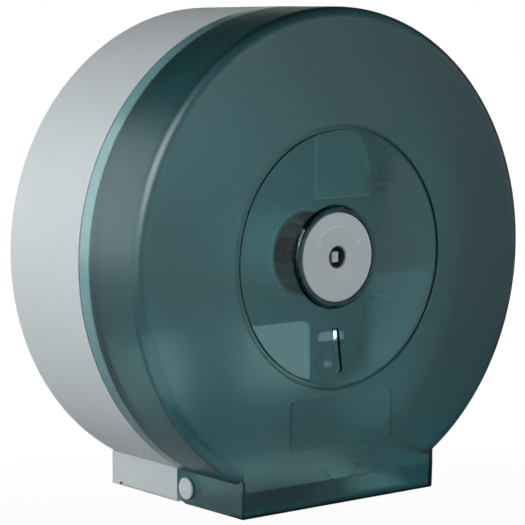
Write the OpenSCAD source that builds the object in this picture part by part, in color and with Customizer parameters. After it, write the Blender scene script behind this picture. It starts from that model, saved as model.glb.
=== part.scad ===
// Jumbo toilet roll dispenser: a round drum on a short neck, fixed to a wall.
// The rear shell carries a spindle with a free-turning roll hub. The front cover
// tips forwards and down on two pins in the neck, and a keyed lock in its middle
// turns a two-armed latch behind a keeper inside the spindle.
// The origin is on the drum's axis, in the plane of the wall. Front is -Y, up is +Z.

/* [Casing] */
// Outer radius of the drum
drum_r = 132.5; // [128:0.5:140]
// How much smaller the drum's radius is at the wall
drum_draft = 0.9; // [0:0.1:1.5]
// Distance from the wall to the front face
case_depth = 119.3; // [116:0.1:130]
// Distance from the wall to the seam between rear shell and cover
seam_depth = 66.8; // [64:0.1:72]
// Half the width of the neck
neck_half_w = 66.6; // [60:0.1:72]
// How far the neck reaches below the place where the drum's sides run into it
neck_len = 18; // [17:0.1:26]
// Wall thickness of the rear shell
shell_t = 2.5; // [2:0.1:3]
// Wall thickness of the cover
cover_t = 2.2; // [1.8:0.1:2.6]
// Radius of the rounded edge round the cover's front
front_fillet = 6.8; // [4:0.1:9]
// Gap between casing pieces that don't bear on each other
part_gap = 0.3; // [0.25:0.05:0.4]

/* [Rear shell] */
// Depth of the hollow behind the back plate
back_recess = 2.6; // [2.4:0.1:3.5]
// Thickness of the back plate
plate_t = 2.6; // [2:0.1:3.5]
// Clearance between the cover and the lip that it closes over, on the radius
spigot_clear = 1; // [0.8:0.1:1.3]
// Length of that lip in front of the seam
spigot_len = 9.6; // [6:0.1:12]
// Thickness of the ribs on the back
back_rib_t = 1.8; // [1.2:0.1:3]
// Number of radial ribs on the back
back_ribs = 12; // [8:1:16]
// Radius of the round rib on the back
back_ring_r = 62; // [50:1:80]
// Distance of a wall screw hole from the inside of the drum's wall
wall_hole_inset = 13.4; // [12:0.1:30]
// How far a wall screw hole lies above or below the level of the axis, as an angle
wall_hole_angle = 43.5; // [41:0.1:45]
// Radius of a wall screw hole
wall_hole_r = 3.25; // [2.5:0.05:3.5]
// Radius of the pad round a wall screw hole
wall_pad_r = 8; // [7:0.5:10]
// How far a wall screw pad stands in front of the back plate
wall_pad_h = 1.6; // [1:0.1:3]
// Width of each of the two openings in the back plate
back_open_w = 50.7; // [30:0.1:52]
// Height of those openings
back_open_h = 40; // [20:0.5:42]
// Distance of an opening's outer edge from the middle
back_open_out = 70.7; // [60:0.1:72]
// Distance of the openings' top below the axis
back_open_drop = 52.2; // [45:0.1:54]
// Corner radius of the openings
back_open_corner = 4; // [1:0.5:8]
// Length of the two adjusting slots in the back plate
adjust_len = 20.2; // [12:0.1:22]
// Height of the adjusting slots
adjust_h = 6.4; // [5:0.1:7]
// Distance of an adjusting slot's inner end from the middle
adjust_in = 77.3; // [76:0.1:84]
// Distance of the adjusting slots' middle below the axis
adjust_drop = 63.6; // [58:0.1:64]
// Distance of the upright side of the stiffening beads from the middle
bead_in = 72; // [50:0.1:90]
// Distance of the beads' lower side above the axis
bead_up = 19.5; // [5:0.1:30]
// Height of the field inside a bead
bead_field_h = 50; // [20:0.5:55]
// Distance of the beads' curved side from the inside of the drum's wall
bead_gap = 8.1; // [8:0.1:20]
// Width of a bead
bead_w = 1.4; // [1:0.1:2]
// How far a bead stands in front of the back plate
bead_h = 3; // [1:0.1:4]
// Number of gussets between the back plate and the drum wall
gussets = 10; // [6:1:14]
// Size of a gusset
gusset_size = 9; // [6:0.5:14]

/* [Tear edge] */
// Distance between two teeth
tooth_pitch = 2.4; // [2:0.1:3]
// Height of a tooth
tooth_h = 1.3; // [0.8:0.1:1.8]
// Thickness of a tear blade
blade_t = 1; // [0.8:0.1:1.2]
// Height of a tear blade
blade_h = 10; // [8:0.5:12]
// Length of a tear blade
blade_len = 36; // [28:0.5:40]
// Radius of the pips that hold a tear blade
pip_r = 1.5; // [1.2:0.1:2]

/* [Hinge] */
// Distance of the hinge axis in front of the seam
pivot_ahead = 3.5; // [2.5:0.1:5]
// Radius of the ears round the hinge axis
ear_r = 8.8; // [8:0.1:9.5]
// Thickness of the rear shell's inner ears
ear_t = 2.2; // [1.8:0.1:2.8]
// Radius of the hinge pin's shank
pin_r = 4.5; // [3.5:0.1:5]
// Radius of the hinge pin's head
pin_head_r = 6; // [5.5:0.1:7]
// Height of the hinge pin's head
pin_head_h = 1.4; // [1:0.1:2]
// Radius of the rounding round the pin's head
pin_edge_r = 0.7; // [0.4:0.1:0.9]
// Running clearance of a pin or shaft in its hole, on the radius
run_clear = 0.05; // [0.03:0.01:0.08]

/* [Window and label] */
// Radius of the groove round the window
ring_r = 68.5; // [62:0.5:70]
// Half the width of that groove
ring_half_w = 0.5; // [0.3:0.1:0.7]
// Depth of that groove
ring_cut = 1.1; // [0.8:0.1:1.2]
// How far the window's rim lies behind the front face
window_drop = 0.7; // [0.4:0.1:1]
// How far the window's middle dishes in below its rim
dish_drop = 5.3; // [4:0.1:6]
// Width of the sight slot
slot_w = 4.3; // [4:0.1:6]
// Length of the sight slot
slot_len = 24; // [16:0.5:28]
// Distance of the sight slot's middle below the axis
slot_drop = 49.8; // [46:0.1:51]
// Width of the blank label field
label_w = 70; // [50:1:80]
// Height of the blank label field
label_h = 26.3; // [20:0.1:28]
// Distance of the label field below the window's groove
label_gap = 5.5; // [3:0.1:8]
// Corner radius of the label field
label_corner = 3; // [1:0.5:5]
// Depth of the label field
label_cut = 0.5; // [0.2:0.1:0.8]
// Half the width of the arrow mark
arrow_half_w = 13.3; // [8:0.1:18]
// Distance of the arrow mark's top above the foot of the neck
arrow_up = 21.2; // [17:0.1:24]
// Height of the arrow mark
arrow_h = 15.2; // [8:0.1:16]
// Depth of the arrow mark
arrow_cut = 0.3; // [0.1:0.1:0.5]

/* [Paper lip] */
// Width of the lip's floor, front to back
lip_len = 13.6; // [8:0.1:18]
// Height of the rib that stands on the lip
lip_rib_h = 11.8; // [6:0.1:14]
// Thickness of that rib
lip_rib_t = 1.6; // [1.2:0.1:2.4]
// Distance of that rib behind the front face
lip_rib_back = 7.3; // [5:0.1:9]

/* [Spindle] */
// Wall thickness of the spindle round the latch keeper
post_wall = 2.4; // [2:0.1:3]
// Radius of the spindle's flange
flange_r = 29; // [26:0.5:34]
// Thickness of the spindle's flange
flange_t = 3.6; // [3:0.1:5]
// Radius of the circle of the spindle's screws
post_screw_circle = 23; // [21.5:0.1:24]
// Number of spindle screws
post_screws = 3; // [3:1:4]
// Radius of a spindle screw's thread
post_screw_r = 1.7; // [1.4:0.1:2]
// Outer radius of the roll hub
hub_r = 25; // [24.5:0.1:27]
// Wall thickness of the roll hub
hub_t = 2.2; // [1.8:0.1:2.6]
// How far the hub stands out in front of the spindle
hub_over = 13; // [10:0.5:16]
// Length of each of the hub's two bearing webs
hub_web = 4; // [3:0.1:5]
// Thickness of the thrust washer behind the hub
thrust_t = 1; // [0.8:0.1:1.5]
// Thickness of the ring that keeps the hub on the spindle
retainer_t = 1.8; // [1.2:0.1:2.2]
// Clearance round that ring inside the hub
retainer_clear = 2.2; // [1.4:0.1:3]
// Depth of the groove that the ring sits in
retainer_groove = 0.8; // [0.5:0.1:1]

/* [Lock] */
// Radius of the lock plate
lock_plate_r = 23.9; // [23:0.1:25]
// Thickness of the lock plate
lock_plate_t = 4.2; // [4:0.1:5]
// Distance of the lock plate's face behind the front face
lock_plate_back = 3.4; // [3:0.1:4.2]
// Radius of the keyhole
keyhole_r = 5.9; // [5.5:0.05:5.9]
// Width of the collar round the lock plate
collar_w = 3.4; // [2.8:0.1:4]
// Radius of the lock core's shaft
core_r = 6; // [6:0.05:6.3]
// Width of the lock core's head
core_head_w = 4.6; // [4:0.1:5]
// Height of the lock core's head
core_head_h = 5.8; // [5:0.1:6]
// Wall thickness of the lock barrel
barrel_t = 2; // [1.6:0.1:2.4]
// Length of the lock barrel behind the cover
barrel_len = 25; // [22:0.5:28]
// Radius of the lock barrel's flange
barrel_flange_r = 17; // [16:0.5:19]
// Thickness of the lock barrel's flange
barrel_flange_t = 2.4; // [2:0.1:3]
// Radius of the circle of the lock screws
lock_screw_circle = 13; // [12.5:0.1:13.5]
// Number of lock screws
lock_screws_n = 3; // [3:1:4]
// Radius of a lock screw's thread
lock_screw_r = 1.2; // [1:0.1:1.3]
// Distance between the clip on the lock core and the latch
core_reach = 15.7; // [12:0.1:20]
// Thickness of the latch keeper
keeper_t = 2; // [1.5:0.1:2.5]
// Width of the ledge that the latch keeper sits on
keeper_ledge = 1.8; // [1.4:0.1:2.4]
// How far the latch keeper sits inside the spindle's front end
keeper_recess = 8; // [6:0.5:10]
// Reach of the latch's arms from the axis
latch_reach = 12.6; // [11.5:0.1:12.8]
// Width of the latch's arms
latch_w = 8; // [7:0.1:8.5]
// Thickness of the latch
latch_t = 2.5; // [2:0.1:3]

/* [Hidden] */

$fn = 96;
shell_grey = [0.66, 0.70, 0.72];
smoke_teal = [0.20, 0.32, 0.35];
dark_grey = [0.25, 0.27, 0.28];
steel = [0.75, 0.76, 0.78];
cut = 1;                                  // how far a cutting solid runs past what it cuts
join = 0.4;                               // how far joined solids run into each other

// Neck, and the hinge axis as distances from the wall and below the drum's axis
junction = sqrt(drum_r * drum_r - neck_half_w * neck_half_w);   // where the drum meets the neck
neck_drop = junction + neck_len;                   // foot of the neck, below the drum's axis
pivot_drop = neck_drop - ear_r;
pivot_depth = seam_depth + pivot_ahead;
wall_edge = pivot_depth - ear_r - part_gap;        // front edge of the neck's side walls
ear_back = pivot_depth - ear_r;                    // rear edge of the cover's ears

// Rear shell
rear_front = seam_depth - part_gap;
plate_front = back_recess + plate_t;
drum_back_r = drum_r - drum_draft;
drum_bore_r = drum_back_r - shell_t;
spigot_r = drum_r - cover_t - spigot_clear;
spigot_in_r = spigot_r - shell_t + join;
spigot_root = seam_depth - 8.8;
neck_in = neck_half_w - shell_t;                   // inner face of the neck's side walls
ear_out = neck_half_w - cover_t - part_gap;        // outer face of the inner ears
ear_in = ear_out - ear_t;
ear_tip = pivot_depth - 5;
notch_half = neck_half_w + part_gap;
ear_top = junction - 0.5;                          // top of the cover's ears, below the axis
throat_top = sqrt(pow(drum_r - front_fillet, 2) - neck_half_w * neck_half_w) - 3;
back_hub_r = flange_r + 5;                         // small round rib on the back, outside the flange
wall_hole_ring = drum_bore_r - wall_hole_inset;    // circle of the wall screw holes

// Tear edge
teeth_start = 8.5;
teeth_n = floor((wall_edge - teeth_start - tooth_pitch) / tooth_pitch);
blade_start = teeth_start + 1;
blade_gap = 0.2;
blade_out = ear_out - blade_gap;
ear_root = blade_start + blade_len + 0.5;          // rear end of the inner ears, clear of the blades
pip_inset = 7;

// Cover
window_r = ring_r - ring_half_w;
window_depth = case_depth - window_drop;
plate_face = case_depth - lock_plate_back;
seat_clear = 0.2;
cup_r = lock_plate_r + 0.4;
cup_floor = plate_face - lock_plate_t - seat_clear;
cup_back = cup_floor - cover_t;
collar_r = cup_r + collar_w;
dish_depth = window_depth - dish_drop;
dish_ball = (window_r * window_r - collar_r * collar_r) / (2 * dish_drop);
collar_top = plate_face - 0.3;
collar_edge = 1.6;
cover_in = neck_half_w - cover_t;
front_in = case_depth - cover_t;

// Lock
barrel_r = core_r + run_clear + barrel_t;
barrel_hole_r = barrel_r + part_gap;
barrel_front = cup_floor - seat_clear;
barrel_flange_front = cup_back - seat_clear;
barrel_end = cup_back - barrel_len;
core_front = cup_back - seat_clear;
core_head_end = plate_face - 2.4;
washer_t = 1.2;
clip_t = 1;
washer_front = barrel_end - seat_clear;
clip_front = washer_front - washer_t - seat_clear;
clip_in = core_r - 0.8;
clip_r = core_r + 2.6;
washer_r = core_r + 2.8;
latch_gap = 2;
latch_front = clip_front - clip_t - core_reach;
keeper_seat = latch_front + latch_gap;             // where the keeper rests inside the spindle
latch_back = latch_front - latch_t;
core_square = 5;
core_fit = 0.05;
core_end = latch_back - 0.6;
latch_head_r = 4.4;
latch_head_t = 2;
latch_screw_r = 1.5;
latch_screw_len = 9;

// Spindle
post_in_r = latch_reach + 0.7;
keeper_r = post_in_r + keeper_ledge;
post_r = keeper_r + post_wall;
post_end = keeper_seat + keeper_recess;
hub_end = post_end + hub_over;
hub_in_r = hub_r - hub_t;
retainer_r = hub_in_r - retainer_clear;
thrust_inset = 1;
retainer_ahead = 2.4;
flange_back = plate_front + seat_clear;
flange_front = flange_back + flange_t;
thrust_back = flange_front + seat_clear;
hub_back = thrust_back + thrust_t + seat_clear;
retainer_back = keeper_seat + retainer_ahead;
hub_web_front = retainer_back - part_gap;
keeper_hole_r = core_r + 2;
keeper_slot_half = latch_w / 2 + 1.7;
screw_head_r = 3.4;
screw_head_t = 2;
screw_clear = 0.2;
lead_in = 1.6;

// Turns a solid that is drawn with its depth along +Z out of the wall
module from_wall() rotate([90, 0, 0]) children();

// Both sides, the second one mirrored
module both_sides() {
    children();
    mirror([1, 0, 0]) children();
}

// A plain tube between two depths
module tube(r_out, r_in, d0, d1)
    translate([0, 0, d0]) difference() {
        cylinder(r = r_out, h = d1 - d0);
        translate([0, 0, -cut]) cylinder(r = r_in, h = d1 - d0 + 2 * cut);
    }

// A box given by its low and high corners
module span_box(low, high) translate(low) cube(high - low);

// Points along an arc
function arc(cx, cy, r, a0, a1, n) =
    [for (i = [0:n]) [cx + r * cos(a0 + (a1 - a0) * i / n), cy + r * sin(a0 + (a1 - a0) * i / n)]];

// Height of the dish at a radius
function dish_at(r) = dish_depth + (r * r - collar_r * collar_r) / (2 * dish_ball);

// A rod across the neck, on the hinge axis
module hinge_rod(r, x0, x1)
    translate([x0, -pivot_drop, pivot_depth]) rotate([0, 90, 0]) cylinder(r = r, h = x1 - x0);

// ---------------------------------------------------------------- rear shell

module drum_wall() {
    difference() {
        cylinder(r1 = drum_back_r, r2 = drum_r, h = rear_front, $fn = 180);
        translate([0, 0, -cut]) cylinder(r = drum_bore_r, h = rear_front + 2 * cut, $fn = 180);
    }
    // stepped lip that the cover closes over
    tube(drum_bore_r + join, spigot_in_r, spigot_root, rear_front, $fn = 180);
    tube(spigot_r, spigot_in_r, spigot_root, seam_depth + spigot_len, $fn = 180);
}

module drum_gussets()
    for (i = [0:gussets - 1]) rotate([0, 0, -50 + i * 280 / (gussets - 1)])
        translate([drum_bore_r + join, back_rib_t / 2, plate_front - join]) rotate([90, 0, 0])
            linear_extrude(back_rib_t)
                polygon([[0, 0], [-gusset_size, 0], [0, 2 * gusset_size]]);

module back_plate() {
    translate([0, 0, back_recess]) cylinder(r = drum_bore_r + join, h = plate_t, $fn = 180);
    span_box([-neck_half_w + join, -neck_drop, back_recess],
             [neck_half_w - join, -junction + join, plate_front]);
    // rim along the foot of the neck
    span_box([-neck_half_w + join, -neck_drop, 0], [neck_half_w - join, -neck_drop + shell_t, plate_front]);
}

module back_ribbing() {
    intersection() {
        union() {
            tube(back_ring_r, back_ring_r - back_rib_t, 0, back_recess + join);
            tube(back_hub_r, back_hub_r - back_rib_t, 0, back_recess + join);
            for (i = [0:back_ribs - 1]) rotate([0, 0, 360 / back_ribs * (i + 0.5)])
                span_box([back_hub_r - join, -back_rib_t / 2, 0],
                         [drum_bore_r + join, back_rib_t / 2, back_recess + join]);
        }
        cylinder(r = drum_bore_r + join, h = back_recess + join, $fn = 180);
    }
}

// The four places of the wall screws
module wall_screw_places()
    for (sx = [-1, 1], sz = [-1, 1])
        translate([sx * wall_hole_ring * cos(wall_hole_angle), sz * wall_hole_ring * sin(wall_hole_angle), 0])
            children();

// Openings and adjusting slots on the +X side, grown by a rim
module back_opening(grow) {
    translate([back_open_out - back_open_w / 2, -back_open_drop - back_open_h / 2])
        round_rect(back_open_w + 2 * grow, back_open_h + 2 * grow, back_open_corner + grow);
    translate([adjust_in + adjust_len / 2, -adjust_drop])
        round_rect(adjust_len + 2 * grow, adjust_h + 2 * grow, adjust_h / 2 - 0.7 + grow);
}

// A field on the +X side: straight inside and below, round along the drum, with one rounded corner
module bead_field(inset) {
    r = drum_bore_r - bead_gap - inset;
    fillet = 5 - inset;
    up = bead_up + inset + fillet;
    mid = sqrt(pow(r - fillet, 2) - up * up);
    low = atan2(up, mid);
    top = bead_up + bead_field_h - inset;
    polygon(concat([[bead_in + inset, bead_up + inset]], arc(mid, up, fillet, -90, low, 6),
        arc(0, 0, r, low + 1, asin(top / r), 12), [[bead_in + inset, top]]));
}

module stiffening_bead()
    translate([0, 0, plate_front - join]) linear_extrude(bead_h + join) difference() {
        bead_field(0);
        bead_field(bead_w);
    }

module wall_pads()
    wall_screw_places() cylinder(r = wall_pad_r, h = plate_front + wall_pad_h, $fn = 48);

module wall_holes()
    wall_screw_places() translate([0, 0, -cut])
        cylinder(r = wall_hole_r, h = plate_front + wall_pad_h + 2 * cut, $fn = 48);

module inner_ear() {
    span_box([ear_in, -neck_drop, ear_root], [ear_out, -junction + 3, ear_tip]);
    span_box([ear_out - join, -neck_drop, ear_root], [neck_in + join, -junction + 3, wall_edge]);
    hinge_rod(ear_r - part_gap, ear_in, ear_out);
}

// V-shaped gaps between the teeth along the foot of a side wall
module tooth_gaps() {
    for (i = [0:teeth_n - 1]) translate([0, -neck_drop, teeth_start + tooth_pitch * (i + 1)])
        rotate([0, 90, 0]) linear_extrude(neck_half_w + cut)
            polygon([[-tooth_pitch * 0.3, -cut], [tooth_pitch * 0.3, -cut], [tooth_pitch * 0.3, 0],
                     [0, tooth_h], [-tooth_pitch * 0.3, 0]]);
    translate([0, -neck_drop - cut, teeth_start - 1]) cube([neck_half_w + cut, cut + tooth_h * 1.5, 2]);
}

module side_wall()
    difference() {
        span_box([neck_in, -neck_drop, 0], [neck_half_w, -junction + join, wall_edge]);
        translate([neck_in - cut, 0, 0]) tooth_gaps();
    }

module blade_pips()
    for (d = [blade_start + pip_inset, blade_start + blade_len - pip_inset])
        translate([blade_out - blade_t - 0.6, -neck_drop + blade_h - 3, d])
            rotate([0, 90, 0]) cylinder(r = pip_r, h = neck_in - blade_out + blade_t + 0.6 + join, $fn = 32);

module rear_shell() color(shell_grey) from_wall() difference() {
    union() {
        difference() {
            union() {
                drum_wall();
                drum_gussets();
            }
            // the drum is open into the neck
            span_box([-neck_in, -drum_r - cut, plate_front], [neck_in, -throat_top, case_depth]);
            // room for the cover's ears as they swing
            span_box([-notch_half, -drum_r - cut, wall_edge], [notch_half, -throat_top, case_depth]);
            span_box([-notch_half - shell_t, -drum_r - cut, seam_depth - shell_t],
                     [notch_half + shell_t, -throat_top, case_depth]);
        }
        back_plate();
        back_ribbing();
        wall_pads();
        both_sides() {
            side_wall();
            inner_ear();
            blade_pips();
            linear_extrude(back_recess + join) back_opening(back_rib_t);
            stiffening_bead();
        }
    }
    wall_holes();
    both_sides() translate([0, 0, -cut]) linear_extrude(plate_front + 2 * cut) back_opening(0);
    both_sides() hinge_rod(pin_r + run_clear, ear_in - cut, ear_out + cut);
    for (i = [0:post_screws - 1]) rotate([0, 0, 90 + 360 / post_screws * i])
        translate([post_screw_circle, 0, back_recess - cut])
            cylinder(r = post_screw_r + screw_clear, h = plate_t + 2 * cut, $fn = 32);
}

// One tear blade, on the +X side
module tear_blade() color(steel) from_wall() difference() {
    translate([blade_out - blade_t, -neck_drop + 0.5, blade_start]) rotate([90, 0, 90])
        linear_extrude(blade_t) polygon(concat(
            [[blade_h, 0], [blade_h, blade_len]],
            [for (i = [floor(blade_len / tooth_pitch):-1:1])
                for (k = [0, 1]) [k == 0 ? 0 : tooth_h, (i - 0.5 * k) * tooth_pitch]],
            [[0, 0]]));
    for (d = [blade_start + pip_inset, blade_start + blade_len - pip_inset])
        translate([blade_out - blade_t - cut, -neck_drop + blade_h - 3, d])
            rotate([0, 90, 0]) cylinder(r = pip_r + run_clear, h = blade_t + 2 * cut, $fn = 32);
}

module tear_blade_right() tear_blade();
module tear_blade_left() mirror([1, 0, 0]) tear_blade();

// One hinge pin, on the +X side: rounded head outside, shank through both ears, split snap end
module hinge_pin() color(shell_grey) from_wall()
    translate([neck_half_w + seat_clear, -pivot_drop, pivot_depth]) rotate([0, 90, 0]) {
        rotate_extrude() polygon(concat([[0, 0], [pin_head_r, 0]],
            arc(pin_head_r - pin_edge_r, pin_head_h - pin_edge_r, pin_edge_r, 0, 90, 6),
            [[0, pin_head_h]]));
        difference() {
            rotate([180, 0, 0]) union() {
                translate([0, 0, -join]) cylinder(r = pin_r, h = neck_half_w - ear_in + seat_clear + join + 0.2);
                translate([0, 0, neck_half_w - ear_in + seat_clear + 0.2])
                    cylinder(r1 = pin_r + 0.5, r2 = pin_r - 0.6, h = 2.2);
            }
            translate([-pin_r - cut, -0.6, -(neck_half_w - ear_in + seat_clear + 2.2 + cut)])
                cube([2 * (pin_r + cut), 1.2, ear_t + 2.2 + cut]);
        }
    }

module hinge_pin_right() hinge_pin();
module hinge_pin_left() mirror([1, 0, 0]) hinge_pin();

// ---------------------------------------------------------------- spindle and hub

module on_circle(n, r) for (i = [0:n - 1]) rotate([0, 0, 90 + 360 / n * i]) translate([r, 0, 0]) children();

module spindle_post() color(shell_grey) from_wall() difference() {
    union() {
        translate([0, 0, flange_back]) cylinder(r = flange_r, h = flange_t);
        translate([0, 0, flange_back]) cylinder(r = post_r, h = post_end - flange_back);
    }
    translate([0, 0, flange_back - cut]) cylinder(r = post_in_r, h = post_end);
    translate([0, 0, keeper_seat]) cylinder(r = keeper_r + screw_clear, h = post_end);
    tube(post_r + cut, post_r - retainer_groove, retainer_back, retainer_back + retainer_t + 2 * seat_clear);
    on_circle(post_screws, post_screw_circle) translate([0, 0, flange_back - cut])
        cylinder(r = post_screw_r + run_clear, h = flange_t + 2 * cut, $fn = 32);
}

// Pan head screws from behind the back plate into the spindle's flange
module spindle_screws() color(steel) from_wall() on_circle(post_screws, post_screw_circle) {
    translate([0, 0, back_recess - seat_clear - screw_head_t]) difference() {
        cylinder(r = screw_head_r, h = screw_head_t, $fn = 48);
        translate([-0.4, -2.2, -cut]) cube([0.8, 4.4, cut + 0.9]);
        translate([-2.2, -0.4, -cut]) cube([4.4, 0.8, cut + 0.9]);
    }
    translate([0, 0, back_recess - seat_clear - join])
        cylinder(r = post_screw_r, h = plate_t + flange_t + seat_clear + join, $fn = 32);
}

module thrust_washer() color(dark_grey) from_wall()
    tube(hub_r - thrust_inset, post_r + part_gap, thrust_back, thrust_back + thrust_t);

module roll_hub() color(shell_grey) from_wall() {
    rotate_extrude() polygon([
        [hub_in_r, hub_back], [hub_r, hub_back], [hub_r, hub_end - lead_in],
        [hub_r - lead_in / 2, hub_end], [hub_in_r, hub_end]]);
    for (d = [hub_back, hub_web_front - hub_web])
        tube(hub_in_r + join, post_r + run_clear, d, d + hub_web);
}

// Split ring in the groove near the spindle's front end
module hub_retainer() color(steel) from_wall() difference() {
    tube(retainer_r, post_r - retainer_groove + 0.1, retainer_back + seat_clear,
         retainer_back + seat_clear + retainer_t);
    translate([-3, -retainer_r - cut, retainer_back]) cube([6, retainer_r, retainer_t + 2]);
}

// Plate with a cross slot: the latch's arms pass it lying flat and catch behind it upright
module latch_keeper() color(dark_grey) from_wall() translate([0, 0, keeper_seat + 0.1]) difference() {
    cylinder(r = keeper_r, h = keeper_t);
    translate([0, 0, -cut]) cylinder(r = keeper_hole_r, h = keeper_t + 2 * cut);
    intersection() {
        translate([0, 0, -cut]) cylinder(r = post_in_r, h = keeper_t + 2 * cut);
        translate([-post_r, -keeper_slot_half, -2 * cut])
            cube([2 * post_r, 2 * keeper_slot_half, keeper_t + 4 * cut]);
    }
}

// ---------------------------------------------------------------- cover

module cover_skin() {
    outer = concat(
        [[drum_r, seam_depth]],
        arc(drum_r - front_fillet, case_depth - front_fillet, front_fillet, 0, 90, 10),
        [[ring_r + ring_half_w, case_depth], [ring_r, case_depth - ring_cut]],
        [for (i = [0:12]) let (r = window_r + (collar_r - window_r) * i / 12) [r, dish_at(r)]],
        arc(collar_r - collar_edge, collar_top - collar_edge, collar_edge, 0, 90, 5),
        [[cup_r + 0.3, collar_top], [cup_r, collar_top - 0.5], [cup_r, cup_floor], [barrel_hole_r, cup_floor]]);
    inner = concat(
        [[barrel_hole_r, cup_back], [cup_r + cover_t, cup_back], [cup_r + cover_t, dish_at(collar_r) - cover_t]],
        [for (i = [0:12]) let (r = collar_r + (window_r - collar_r) * i / 12) [r, dish_at(r) - cover_t]],
        [[ring_r + 1.5, window_depth - cover_t], [ring_r + 1.5 + window_drop, front_in]],
        arc(drum_r - front_fillet, case_depth - front_fillet, front_fillet - cover_t, 90, 0, 10),
        [[drum_r - cover_t, seam_depth]]);
    rotate_extrude($fn = 180) polygon(concat(outer, inner));
}

module cover_neck() {
    // front wall of the neck, flush with the drum's front
    span_box([-neck_half_w, -neck_drop, front_in], [neck_half_w, -throat_top, case_depth]);
    // floor of the paper lip and its rib
    span_box([-neck_half_w, -neck_drop, case_depth - lip_len], [neck_half_w, -neck_drop + cover_t, case_depth]);
    span_box([-cover_in - join, -neck_drop, case_depth - lip_rib_back],
             [cover_in + join, -neck_drop + cover_t + lip_rib_h, case_depth - lip_rib_back + lip_rib_t]);
    both_sides() {
        span_box([cover_in, -neck_drop, pivot_depth], [neck_half_w, -junction + 1.5, case_depth]);
        span_box([cover_in, -pivot_drop, ear_back], [neck_half_w, -ear_top, pivot_depth + join]);
        hinge_rod(ear_r, cover_in, neck_half_w);
    }
}

// Rounded rectangle, centred
module round_rect(w, h, r) {
    square([w - 2 * r, h], center = true);
    square([w, h - 2 * r], center = true);
    for (sx = [-1, 1], sy = [-1, 1]) translate([sx * (w / 2 - r), sy * (h / 2 - r)]) circle(r = r, $fn = 32);
}

module front_cover() color(smoke_teal) from_wall() difference() {
    union() {
        difference() {
            cover_skin();
            // the drum is open into the neck
            span_box([-cover_in, -drum_r - cut, seam_depth - cut], [cover_in, -throat_top, front_in]);
        }
        cover_neck();
    }
    // sight slot
    translate([0, -slot_drop, dish_depth - 2 * cover_t]) linear_extrude(4 * cover_t + dish_drop) {
        square([slot_w, slot_len - slot_w], center = true);
        for (s = [-1, 1]) translate([0, s * (slot_len - slot_w) / 2]) circle(r = slot_w / 2, $fn = 48);
    }
    translate([0, -ring_r - label_gap - label_h / 2, case_depth - label_cut]) linear_extrude(label_cut + cut)
        round_rect(label_w, label_h, label_corner);
    translate([0, arrow_up - neck_drop, case_depth - arrow_cut]) linear_extrude(arrow_cut + cut)
        polygon([[-arrow_half_w, 0], [arrow_half_w, 0], [0, -arrow_h]]);
    both_sides() hinge_rod(pin_r + run_clear, cover_in - cut, neck_half_w + cut);
    on_circle(lock_screws_n, lock_screw_circle) translate([0, 0, cup_back - cut])
        cylinder(r = lock_screw_r + part_gap, h = cover_t + 2 * cut, $fn = 32);
}

// ---------------------------------------------------------------- lock

module lock_plate() color(shell_grey) from_wall() difference() {
    rotate_extrude() polygon(concat(
        [[keyhole_r, plate_face - lock_plate_t], [lock_plate_r, plate_face - lock_plate_t]],
        arc(lock_plate_r - 0.8, plate_face - 0.8, 0.8, 0, 90, 6),
        [[keyhole_r + 0.5, plate_face], [keyhole_r, plate_face - 0.5]]));
    on_circle(lock_screws_n, lock_screw_circle) translate([0, 0, plate_face - lock_plate_t - cut])
        cylinder(r = lock_screw_r + run_clear, h = cut + lock_plate_t - 1.2, $fn = 32);
}

module lock_barrel() color(dark_grey) from_wall() difference() {
    union() {
        translate([0, 0, barrel_end]) cylinder(r = barrel_r, h = barrel_front - barrel_end);
        translate([0, 0, barrel_flange_front - barrel_flange_t])
            cylinder(r = barrel_flange_r, h = barrel_flange_t);
    }
    translate([0, 0, barrel_end - cut])
        cylinder(r = core_r + run_clear, h = barrel_front - barrel_end + 2 * cut);
    on_circle(lock_screws_n, lock_screw_circle)
        translate([0, 0, barrel_flange_front - barrel_flange_t - cut])
            cylinder(r = lock_screw_r + part_gap, h = barrel_flange_t + 2 * cut, $fn = 32);
}

module lock_screws() color(steel) from_wall() on_circle(lock_screws_n, lock_screw_circle) {
    translate([0, 0, barrel_flange_front - barrel_flange_t - seat_clear - 1.6]) difference() {
        cylinder(r = 2.4, h = 1.6, $fn = 48);
        translate([-0.3, -1.6, -cut]) cube([0.6, 3.2, cut + 0.7]);
        translate([-1.6, -0.3, -cut]) cube([3.2, 0.6, cut + 0.7]);
    }
    translate([0, 0, barrel_flange_front - barrel_flange_t - seat_clear - join])
        cylinder(r = lock_screw_r, h = join + barrel_flange_t + cover_t + 2 * seat_clear + lock_plate_t - 1.4,
                 $fn = 32);
}

module lock_core() color(shell_grey) from_wall() difference() {
    union() {
        translate([0, 0, latch_front + seat_clear])
            cylinder(r = core_r, h = core_front - latch_front - seat_clear);
        translate([-core_head_w / 2, -core_head_h / 2, core_front - join])
            cube([core_head_w, core_head_h, core_head_end - core_front + join]);
        translate([-core_square / 2, -core_square / 2, core_end])
            cube([core_square, core_square, latch_front - core_end + seat_clear + join]);
    }
    tube(core_r + cut, clip_in, clip_front - clip_t - seat_clear / 2, clip_front + seat_clear / 2);
    translate([0, 0, core_end - cut])
        cylinder(r = latch_screw_r + run_clear, h = latch_screw_len + cut, $fn = 32);
}

// Spring washer that gives the core its stiff turn
module detent_washer() color(steel) from_wall()
    tube(washer_r, core_r + 0.2, washer_front - washer_t, washer_front);

// Split clip in the core's groove
module core_clip() color(steel) from_wall() difference() {
    tube(clip_r, clip_in + 0.1, clip_front - clip_t, clip_front);
    translate([-2.5, -clip_r - cut, clip_front - clip_t - cut]) cube([5, clip_r, clip_t + 2 * cut]);
}

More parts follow.
